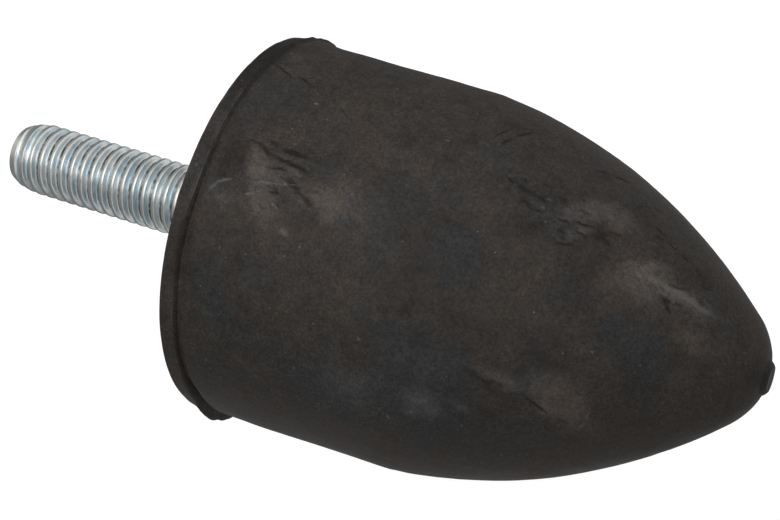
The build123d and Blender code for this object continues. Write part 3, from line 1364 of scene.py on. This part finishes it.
        parts["nose"] = outline.arc((0.0, nose_z), self.nose_radius, tangency, nub_base, 14)
        parts["nub_side"], parts["nub_top"] = outline.path(
            (self.nub_radius, nub_z), ((self.nub_top_radius, nub_z), 6), ((0.25, nub_z), 8))
        return outline.turned(self.lathe.columns, parts)

    def _bend_lip(self, skin: Rings) -> None:
        """Bend the lip's front edge out to the torn flash, and draw it back where it is worn away.

        Args:
            skin: The rings, changed in place.
        """
        ragged = waves(self.lathe.angles(), self.torn_waves)
        reach = self._by_angle(self.torn_edge) * (1.0 + self.torn_variation * ragged)
        back = self._by_angle(self.drawn_back)
        lip = slice(skin.parts["edge"].start, skin.parts["ridge_top"].stop)
        radius, height = skin.radius[lip], skin.height[lip]
        radius += self._by_angle(self.out_of_round)
        share = np.clip(height / self.lip_height, 0.0, 1.0)
        proud = radius - self.lip_radius > 0.01
        radius += share ** 1.5 * reach + np.clip(ragged, -self.notch_depth, 0.0) * proud
        radius -= self.drawn_in * back * share ** 3
        height += self.torn_lean * reach * share - back * share

    def _filled(self, fill: np.ndarray, height: np.ndarray) -> np.ndarray:
        """How far the rubber in the groove fills out the foot of the barrel at a height."""
        return fill * np.clip(1.0 - (height - self.fill_height) / self.fill_fade, 0.0, 1.0) ** 1.5

    def _open_groove(self, skin: Rings) -> None:
        """Open the groove behind the lip by angle, and fill it where rubber ran into it.

        Args:
            skin: The rings, changed in place.
        """
        opening, back, fill = [self._by_angle(knots)
                               for knots in (self.groove_opening, self.drawn_back, self.groove_fill)]
        last = skin.parts["ridge_top"].stop - 1
        edge = (
            skin.radius[last] * 0.5 + self.lip_radius * 0.5 - self.edge_back * back,
            skin.height[last] + 0.03,
        )
        wide = np.clip(opening - 1.0, 0.0, 1.0)
        root = (
            self.barrel_root_radius - self.groove_depth * np.clip(opening, 0.0, 1.4) ** 2 + fill,
            self.lip_height - self.root_back * back + self.root_rise + self.root_lift * wide,
        )
        wall_height = self.lip_height + self.foot_rise + opening
        bare_wall = np.interp(wall_height, (self.lip_height, self.shoulder_height),
                              (self.barrel_root_radius, self.shoulder_radius))
        wall = (bare_wall + self._filled(fill, wall_height), wall_height)
        for part, start, end, bends in (("flank", edge, root, (1.0, 0.7)), ("root", root, wall, (1.3, 0.9))):
            ring = skin.parts[part]
            share = np.linspace(0.0, 1.0, ring.stop - ring.start, endpoint=False)[:, None]
            for side, low, high, bend in zip((skin.radius, skin.height), start, end, bends):
                side[ring] = low + (high - low) * share ** bend
        barrel = skin.parts["barrel"]
        near = np.clip(1.0 - np.arange(barrel.stop - barrel.start) / 5.0, 0.0, 1.0)[:, None]
        skin.height[barrel] += near * (wall_height - self.lip_height - self.groove_width)
        skin.radius[barrel] += self._filled(fill, skin.height[barrel])

    def _dent(self, skin: Rings) -> None:
        """Press the larger dents and cuts into the wall, and flatten the lower shoulder.

        Args:
            skin: The rings, changed in place.
        """
        angles = self.lathe.angles()
        rows = slice(skin.parts["barrel"].start + 2, skin.parts["nose"].stop)
        wall, level = skin.radius[rows], skin.height[rows]
        for mark, depth in [(m, self.dent_depth) for m in DENTS] + [(m, self.cut_depth) for m in CUTS]:
            angle, middle = mark.centre()
            round_the_wall, up_the_wall = mark.run(self.wall_radius(middle))
            across = np.radians(from_line(angles, angle))[None, :] * wall
            along = level - middle
            tilt = math.atan2(round_the_wall, up_the_wall)
            u = across * math.cos(tilt) - along * math.sin(tilt)
            v = across * math.sin(tilt) + along * math.cos(tilt)
            half_width = mark.width * 0.6
            half_length = math.hypot(round_the_wall, up_the_wall) / 2 + mark.width / 4
            distance = (u / half_width) ** 2 + (v / half_length) ** 4
            wall -= depth * mark.strength * np.exp(-2.0 * distance)
        lower = np.exp(-(from_line(angles, self.flat_angle) / self.flat_width) ** 2)
        band = np.exp(-((level - self.shoulder_height - self.flat_rise) / self.flat_length) ** 2)
        wall -= self.flat_depth * band * lower

    def _raise_nub(self, skin: Rings) -> None:
        """Raise the gate's nub over the nose as a low cone, a little out of round, with an uneven top.

        Args:
            skin: The rings, changed in place.
        """
        angles = self.lathe.angles()
        side, top = skin.parts["nub_side"], skin.parts["nub_top"]
        rows = slice(side.start, top.stop)
        skin.radius[rows] *= 1.0 + waves(angles, self.nub_waves)
        nose_z = self._nose_height()
        nose = nose_z + np.sqrt(self.nose_radius ** 2 - skin.radius[rows] ** 2)
        level = nose_z + self.nose_radius + self.nub_rise + waves(angles, self.nub_top_waves)
        share = np.ones(rows.stop - rows.start)
        cone = top.start - side.start
        share[:cone] = np.linspace(0.0, 1.0, cone, endpoint=False) ** 0.75
        skin.height[rows] = nose + (level - nose) * share[:, None]

    def _settle(self, skin: Rings) -> np.ndarray:
        """Swell the skin as the mould left it, and blunt the nose round the gate.

        Args:
            skin: The rings, changed in place.

        Returns:
            How far each ring and column is off the axis, in X and in Y.
        """
        barrel, nose = skin.parts["barrel"], skin.parts["nose"]
        rows = slice(barrel.start, nose.stop)
        skin.radius[rows] += self._eased(self.swell, skin.height[rows])
        tip = slice(nose.start, None)
        radius, height = skin.radius[tip], skin.height[tip]
        height += self.nose_fill * np.exp(-((radius - self.nose_fill_radius) / self.nose_fill_reach) ** 2)
        drift = self._eased(self.drift, skin.height)
        drift[:barrel.start] = 0.0
        columns = self.lathe.angles()
        aside = self.nub_shift * np.clip((self.nub_shift_reach - radius) / self.nub_shift_fade, 0.0, 1.0)
        moved = np.hypot(radius * np.cos(columns) + aside, radius * np.sin(columns))
        height += np.sqrt(self.nose_radius ** 2 - moved ** 2) - np.sqrt(self.nose_radius ** 2 - radius ** 2)
        way = math.radians(self.drift_angle)
        shift = np.stack([drift * math.cos(way), drift * math.sin(way)])
        shift[0, tip] += aside
        return shift

    def make(self, material: bpy.types.Material) -> bpy.types.Object:
        """Build and dress the piece.

        Args:
            material: The rubber's material.

        Returns:
            The piece.
        """
        skin = self._section()
        self._bend_lip(skin)
        self._open_groove(skin)
        self._dent(skin)
        self._raise_nub(skin)
        shift = self._settle(skin)
        pole = float(skin.height[-1].mean()) - 0.01
        piece = self.lathe.build("moulded_rubber", skin, (self.head_height, pole), shift)
        self.lathe.unroll(piece, RubberFinish.front_angle)
        edge, bead, ridge_top = [skin.parts[name] for name in ("edge", "bead", "ridge_top")]
        self.lathe.store(piece, "relief", skin.weights(
            (slice(edge.stop + 1, skin.parts["ridge_low"].start), 0.5),
            (slice(skin.parts["barrel"].start, skin.parts["nose"].stop), 1.0),
        ))
        # Rubbed pale edges of the lip, which are also a painted highlight along its ridge
        rubbed = skin.weights(
            (slice(bead.stop - 1, bead.stop + 2), 0.25),
            (slice(ridge_top.start - 1, ridge_top.stop), 1.0),
            (slice(edge.start + 1, edge.stop + 1), 0.4),
        )
        self.lathe.store(piece, "edge_wear_and_highlight", rubbed * self._by_angle(self.pale_edges_and_highlight))
        piece.data.materials.append(material)
        moulded_relief().run(piece, {"Material": material, "Wave Depth": 0.04, "Wave Size": 7.0,
                                     "Pit Depth": 0.018, "Pit Size": 1.5, "Seed": 4.0})
        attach(piece, BODY)
        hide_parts("rubber_body")
        return piece


@dataclass
class Stud:
    """The headed stud: rolled thread, chamfered point, neck and flat head, in millimetres."""

    crest_radius: float = 4.75
    pitch: float = 1.5875
    thread_depth: float = 0.7
    crest_width: float = 0.22
    root_width: float = 0.2
    runout: float = 1.2
    length: float = 36.4
    point_length: float = 1.6
    full_thread: float = 3.4
    point_radius: float = 3.85
    point_corner: float = 0.5
    neck_radius: float = 5.3
    plate_thickness: float = 2.0
    head_radius: float = 9.0
    head_height: float = 4.5
    head_corner: float = 0.5
    rings_per_pitch: int = 20
    first_crest: float = -32.84
    first_crest_angle: float = 180.0
    lathe: Lathe = Lathe(columns=112, seam_angle=90.0)

    def _rings(self, run: float) -> int:
        """How many rings a run along the thread gets."""
        return round(run / self.pitch * self.rings_per_pitch)

    def _section(self) -> Rings:
        """Sample the section from the middle of the point's face up to the middle of the head.

        Returns:
            The rings, the same in every column.
        """
        outline = Outline()
        end = -self.length
        corner = self.point_corner
        face_radius = self.point_radius - corner
        outline.path((0.5, end), ((face_radius, end), 8))
        outline.arc((face_radius, end + corner), corner, -math.pi / 2, -math.pi / 6, 5)
        shoulder = (face_radius + corner * math.cos(math.pi / 6), end + corner / 2)
        bend = (self.point_radius + (self.crest_radius - self.point_radius) * 0.55,
                self.point_length - self.length - 0.2)
        full = self.full_thread - self.length
        outline.path(
            shoulder,
            (bend, self._rings(bend[1] - shoulder[1])),
            ((self.crest_radius, full), self._rings(full - bend[1])),
            ((self.crest_radius, 0.0), self._rings(-full)),
            ((self.neck_radius, 0.0), 2),
            ((self.neck_radius, self.plate_thickness), 2),
            ((self.head_radius, self.plate_thickness), 2),
            ((self.head_radius, self.head_height - self.head_corner), 2),
            ((self.head_radius - self.head_corner, self.head_height), 2),
            ((1.0, self.head_height), 3),
        )
        return outline.turned(self.lathe.columns, {})

    def make(self, material: bpy.types.Material) -> bpy.types.Object:
        """Build and dress the piece.

        Args:
            material: The plating's material.

        Returns:
            The piece.
        """
        piece = self.lathe.build("threaded_stud", self._section(), (-self.length, self.head_height))
        piece.data.materials.append(material)
        start = self.first_crest - self.pitch * (self.first_crest_angle / 360.0 + 0.5)
        rolled_thread().run(piece, {"Material": material, "Crest Radius": self.crest_radius,
                                    "Pitch": self.pitch, "Depth": self.thread_depth,
                                    "Crest Width": self.crest_width, "Root Width": self.root_width,
                                    "Runout": self.runout, "Start": start})
        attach(piece, BODY)
        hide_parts("stud")
        return piece


@dataclass
class BasePlate:
    """The steel disc in the underside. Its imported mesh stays, with a detailed finish."""

    node: str = "base_plate"

    def dress(self, finish: PlateFinish, effects: SharedEffects) -> bpy.types.Object:
        """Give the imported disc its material.

        Args:
            finish: The disc's finish.
            effects: The shared groups.

        Returns:
            The disc's object.
        """
        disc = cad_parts[self.node]
        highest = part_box(self.node)[1]
        material = finish.make(effects, highest.x)
        for slot in disc.material_slots:
            slot.material = material
        return disc


@dataclass
class PhotoCamera:
    """The photograph's camera, in the buffer's own frame."""

    image_width: int = 780
    focal_pixels: float = 2000.0
    sensor_width: float = 36.0
    position: Triple = (-25.32, -234.01, 106.61)
    right: Triple = (-0.25302, 0.36399, 0.89638)
    down: Triple = (0.96240, 0.0, 0.27165)

    def make(self) -> None:
        """Create the camera and make it the scene's."""
        data = bpy.data.cameras.new("photo_camera")
        data.sensor_width = self.sensor_width
        data.lens = self.focal_pixels / self.image_width * self.sensor_width
        data.clip_start = 0.01
        right = Vector(self.right).normalized()
        up = -Vector(self.down).normalized()
        turn = Matrix((right, up, right.cross(up))).transposed().to_4x4()
        camera = linked("photo_camera", data)
        camera.matrix_world = Matrix.Translation(Vector(self.position) * MM) @ turn
        bpy.context.scene.camera = camera


@dataclass(frozen=True)
class Hanging:
    """A lamp or a card that faces the buffer, placed in metres from it: up, to the front and along it."""

    name: str
    up: float
    front: float
    along: float
    size: float
    power: float = 0.0
    faces_up: bool = False


@dataclass
class Studio:
    """Pale floor that the buffer lies on, soft lamps, cards for the metal and a white surround."""

    down: Triple = (0.821, 0.571, 0.0)
    rest_distance: float = 24.75
    aim_height: float = 20.0
    floor_size: float = 3.0
    floor_colour: Colour = (0.2, 0.2, 0.2)
    floor_glow: float = 0.96
    floor_gloss: float = 0.7
    surround_gloss: float = 0.9
    surround_light: float = 0.4
    lamps: tuple[Hanging, ...] = (
        Hanging("key_lamp", 0.312, 0.281, -0.06, 0.36, 0.87),
        Hanging("top_lamp", 0.42, -0.11, -0.06, 0.5, 0.45),
    )
    cards: tuple[Hanging, ...] = (
        Hanging("card_above", 0.36, 0.3, -0.17, 0.72, 0.05),
        Hanging("card_round_the_key", 0.334, 0.301, -0.065, 0.36, 1.15),
        Hanging("card_in_front", 0.09, 0.5, -0.18, 0.6, 0.2),
        Hanging("card_behind", 0.24, -0.3, -0.2, 0.7, 0.2),
        Hanging("card_below_the_stud", -0.0245, 0.1, -0.31, 0.6, 0.25, True),
    )

    def _ways(self) -> tuple[Vector, Vector, Vector]:
        """Find the ways up, to the front and along the buffer."""
        up = -Vector(self.down).normalized()
        along = Vector((0.0, 0.0, 1.0))
        return up, along.cross(up), along

    @staticmethod
    def _light_by_ray(wiring: Wiring, camera: float, gloss: float, fill: float) -> Socket:
        """Choose a strength by the kind of ray: the background is white to the camera.

        Args:
            wiring: The floor's or the world's tree.
            camera: Strength to the camera's rays.
            gloss: Strength to the rays of gloss and of glass.
            fill: Strength to all others.

        Returns:
            The strength.
        """
        path = wiring.add("ShaderNodeLightPath").outputs
        glossy = wiring.math("MAXIMUM", path["Is Glossy Ray"], path["Is Transmission Ray"])
        strength = wiring.math("MULTIPLY_ADD", glossy, gloss - fill, fill)
        return wiring.math("MULTIPLY_ADD", path["Is Camera Ray"], camera - fill, strength)

    @staticmethod
    def _square(name: str, place: Matrix, size: float, material: bpy.types.Material) -> bpy.types.Object:
        """Build a square.

        Args:
            name: Its name.
            place: Where its middle is. The third axis stands on its front.
            size: Its side in metres.
            material: Its material.

        Returns:
            The new object.
        """
        half = size / 2
        sides = ((-half, -half), (half, -half), (half, half), (-half, half))
        corners = [tuple(place @ Vector((x, y, 0.0))) for x, y in sides]
        mesh = bpy.data.meshes.new(name)
        mesh.from_pydata(corners, [], [(0, 1, 2, 3)])
        mesh.materials.append(material)
        return linked(name, mesh)

    def _floor_material(self) -> bpy.types.Material:
        """Build the pale floor's material, which is clear from behind.

        Returns:
            The material.
        """
        glow = Glow("pale_floor")
        matt = glow.add("ShaderNodeBsdfDiffuse", {"Color": self.floor_colour}).outputs[0]
        shine = glow.shine(self._light_by_ray(glow, self.floor_glow, self.floor_gloss, 0.0))
        front = glow.add("ShaderNodeAddShader", {0: matt, 1: shine}).outputs[0]
        clear = glow.add("ShaderNodeBsdfTransparent").outputs[0]
        behind = glow.add("ShaderNodeNewGeometry").outputs["Backfacing"]
        return glow.finish(glow.add("ShaderNodeMixShader", {0: behind, 1: front, 2: clear}).outputs[0])

    def _floor(self) -> None:
        """Lay the floor against the buffer's lower side."""
        up, front, along = self._ways()
        turn = Matrix((along, -front, up)).transposed().to_4x4()
        place = Matrix.Translation(-up * self.rest_distance * MM) @ turn
        floor = self._square("floor", place, self.floor_size, self._floor_material())

    def _surround(self) -> None:
        """Make the world white to the camera and to gloss, and a soft fill light to the rest."""
        world = bpy.data.worlds.new("surround")
        world.use_nodes = True
        bpy.context.scene.world = world
        wiring = Wiring(world.node_tree)
        background = wiring.tree.nodes["Background"]
        background.inputs["Color"].default_value = (1.0, 1.0, 1.0, 1.0)
        strength = self._light_by_ray(wiring, 1.0, self.surround_gloss, self.surround_light)
        wiring.feed(background.inputs["Strength"], strength)

    def _place(self, hanging: Hanging) -> Matrix:
        """Find where a lamp or a card hangs, facing the buffer.

        Args:
            hanging: The lamp or card.

        Returns:
            Its place and turn.
        """
        up, front, along = self._ways()
        place = up * hanging.up + front * hanging.front + along * hanging.along
        aim = up if hanging.faces_up else along * self.aim_height * MM - place
        return Matrix.Translation(place) @ aim.to_track_quat("-Z", "Y").to_matrix().to_4x4()

    def _lamp(self, hanging: Hanging) -> None:
        """Hang a soft square lamp.

        Args:
            hanging: The lamp.
        """
        data = bpy.data.lights.new(hanging.name, "AREA")
        data.shape = "SQUARE"
        data.size = hanging.size
        data.energy = hanging.power
        linked(hanging.name, data).matrix_world = self._place(hanging)

    def _card(self, hanging: Hanging) -> None:
        """Hang a card that only reflections show, as dark or as grey as its power.

        Args:
            hanging: The card.
        """
        glow = Glow(hanging.name)
        material = glow.finish(glow.shine(hanging.power))
        card = self._square(hanging.name, self._place(hanging), hanging.size, material)
        for rays in ("camera", "diffuse", "shadow", "transmission"):
            setattr(card, f"visible_{rays}", False)

    def make(self) -> None:
        """Build the floor, the surround, the lamps and the cards."""
        self._floor()
        self._surround()
        for lamp in self.lamps:
            self._lamp(lamp)
        for card in self.cards:
            self._card(card)


def report(name: str, piece: bpy.types.Object) -> None:
    """Log one finished piece.

    Args:
        name: What it is.
        piece: Its object.
    """
    size = Vector(piece.dimensions) / MM
    triangles = sum(len(face.vertices) - 2 for face in piece.data.polygons)
    LOG.info("%s: %.1f x %.1f x %.1f mm, %d triangles", name, size.x, size.y, size.z, triangles)


def main() -> None:
    """Build the studio and every piece, in order."""
    logging.basicConfig(level=logging.INFO, format="%(name)s: %(message)s")
    bpy.context.scene.view_settings.view_transform = "Standard"
    PhotoCamera().make()
    Studio().make()
    effects = SharedEffects()
    rubber = RubberBody()
    pieces: list[tuple[str, Callable[[], bpy.types.Object]]] = [
        ("rubber body", lambda: rubber.make(RubberFinish(rubber.wall_radius).make(effects))),
        ("threaded stud", lambda: Stud().make(ZincFinish().make(effects))),
        ("base plate", lambda: BasePlate().dress(PlateFinish(), effects)),
    ]
    for name, build in pieces:
        report(name, build())


if __name__ == "__main__":
    main()
